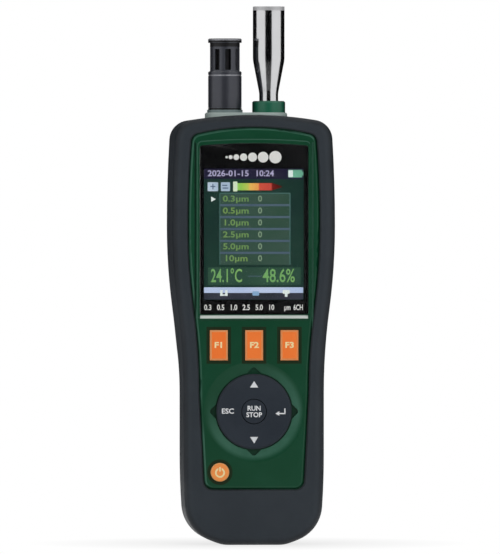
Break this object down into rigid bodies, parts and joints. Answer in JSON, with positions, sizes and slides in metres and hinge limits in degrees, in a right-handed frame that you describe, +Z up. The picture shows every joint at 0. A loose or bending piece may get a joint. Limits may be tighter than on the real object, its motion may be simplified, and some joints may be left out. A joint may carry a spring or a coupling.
{
  "type": "airborne particle counter",
  "caption": "Handheld airborne particle counter with colour display, keypad, isokinetic air sampling probe and slotted climate sensor, in a rubber grip.",
  "frame": {"origin": "centre of the flat foot of the rubber grip, on the surface that the counter stands on", "axes": "+Z up along the body towards the probe, -Y out of the display, +X to the right seen from the front"},
  "size_m": [0.073, 0.0549, 0.241],
  "materials": {
    "grip_rubber": "moulded matt dark grey rubber",
    "green_shell": "moulded dark green plastic, fine satin grain",
    "green_collar": "moulded green plastic",
    "rear_shell": "moulded dark grey plastic, fine grain",
    "plinth_plastic": "moulded grey plastic, satin",
    "window_lens": "back-printed clear acrylic, glossy",
    "clear_glass": "polished optical glass",
    "lamp_lens": "clear moulded light pipe",
    "foam": "closed cell foam",
    "seal_rubber": "silicone rubber",
    "lcd_screen": "glass-faced colour display, lit",
    "frame_plastic": "moulded plastic frame",
    "board_laminate": "green solder mask on laminate",
    "spring_steel": "spring steel",
    "tinned_steel": "tin-plated pressed steel",
    "zinc_steel": "zinc-plated steel",
    "black_plastic": "moulded black plastic",
    "orange_key": "moulded orange silicone key, satin",
    "key_grey": "moulded dark blue-grey silicone key",
    "battery_wrap": "shrink wrap over cells",
    "probe_steel": "polished stainless steel",
    "sensor_plastic": "moulded graphite plastic, satin",
    "brass_insert": "turned brass",
    "black_aluminium": "black anodised aluminium",
    "mirror_coat": "coated mirror",
    "filter_plastic": "moulded filter case",
    "tube_rubber": "silicone tube"
  },
  "bodies": {
    "instrument": {"battery_contacts": "spring_steel", "battery_door": "rear_shell", "battery_door_screw": "zinc_steel", "battery_pack": "battery_wrap", "board_screws": "zinc_steel", "buzzer": "black_plastic", "camera_bezel": "black_plastic", "camera_board": "board_laminate", "camera_module": "black_plastic", "camera_window": "clear_glass", "card_socket": "tinned_steel", "chamber_cover": "black_aluminium", "chamber_screws": "zinc_steel", "climate_sensor_base": "sensor_plastic", "climate_sensor_cage": "sensor_plastic", "climate_sensor_element": "board_laminate", "climate_sensor_nut": "zinc_steel", "collecting_mirror": "mirror_coat", "collimating_lens": "clear_glass", "display_gasket": "foam", "display_window": "window_lens", "dome_switches": "spring_steel", "exhaust_filter": "filter_plastic", "exhaust_tube": "tube_rubber", "flap_pin": "spring_steel", "front_housing": "green_shell", "housing_screws": "zinc_steel", "inlet_tube": "tube_rubber", "keypad_mat": "seal_rubber", "lamp_lenses": "lamp_lens", "laser_module": "brass_insert", "lcd_frame": "frame_plastic", "lcd_panel": "lcd_screen", "light_trap": "black_plastic", "main_board": "board_laminate", "optical_chamber": "black_aluminium", "outlet_tube": "tube_rubber", "photodetector": "tinned_steel", "power_jack": "black_plastic", "probe_collar": "green_collar", "processor_shield": "tinned_steel", "pump_body": "black_plastic", "pump_motor": "tinned_steel", "rear_housing": "rear_shell", "rubber_grip": "grip_rubber", "sampling_probe": "probe_steel", "sensor_board": "board_laminate", "sensor_seals": "seal_rubber", "top_plinth": "plinth_plastic", "tripod_bush": "brass_insert", "usb_port": "tinned_steel"},
    "f1_key": {"function_key_1": "orange_key"},
    "f2_key": {"function_key_2": "orange_key"},
    "f3_key": {"function_key_3": "orange_key"},
    "power_button": {"power_key": "orange_key"},
    "centre_key": {"run_stop_key": "key_grey"},
    "pad_web": {"navigation_web": "seal_rubber"},
    "pad": {"navigation_pad": "key_grey"},
    "flap": {"port_flap": "grip_rubber"},
    "rotor": {"pump_rotor": "spring_steel"}
  },
  "joints": [
    {"name": "f1_press", "type": "slide", "parent": "instrument", "child": "f1_key", "axis": [0, 1, 0], "range_m": [0, 0.0006], "stiffness_N_per_m": 500},
    {"name": "f2_press", "type": "slide", "parent": "instrument", "child": "f2_key", "axis": [0, 1, 0], "range_m": [0, 0.0006], "stiffness_N_per_m": 500},
    {"name": "f3_press", "type": "slide", "parent": "instrument", "child": "f3_key", "axis": [0, 1, 0], "range_m": [0, 0.0006], "stiffness_N_per_m": 500},
    {"name": "power_press", "type": "slide", "parent": "instrument", "child": "power_button", "axis": [0, 1, 0], "range_m": [0, 0.0006], "stiffness_N_per_m": 500},
    {"name": "run_stop_press", "type": "slide", "parent": "instrument", "child": "centre_key", "axis": [0, 1, 0], "range_m": [0, 0.0006], "stiffness_N_per_m": 500},
    {"name": "pad_up_down", "type": "hinge", "parent": "instrument", "child": "pad_web", "pos_m": [0, -0.0213, 0.0597], "axis": [1, 0, 0], "range_deg": [-2.2, 2.2], "stiffness_Nm_per_rad": 0.3},
    {"name": "pad_left_right", "type": "hinge", "parent": "pad_web", "child": "pad", "pos_m": [0, -0.0213, 0.0597], "axis": [0, 0, 1], "range_deg": [-2.2, 2.2], "stiffness_Nm_per_rad": 0.3},
    {"name": "flap_hinge", "type": "hinge", "parent": "instrument", "child": "flap", "pos_m": [0.03045, -0.00955, 0.05175], "axis": [0, 0, 1], "range_deg": [0, 90]},
    {"name": "rotor_spin", "type": "hinge", "parent": "instrument", "child": "rotor", "pos_m": [-0.0145, -0.0025, 0.112], "axis": [1, 0, 0], "continuous": true}
  ]
}
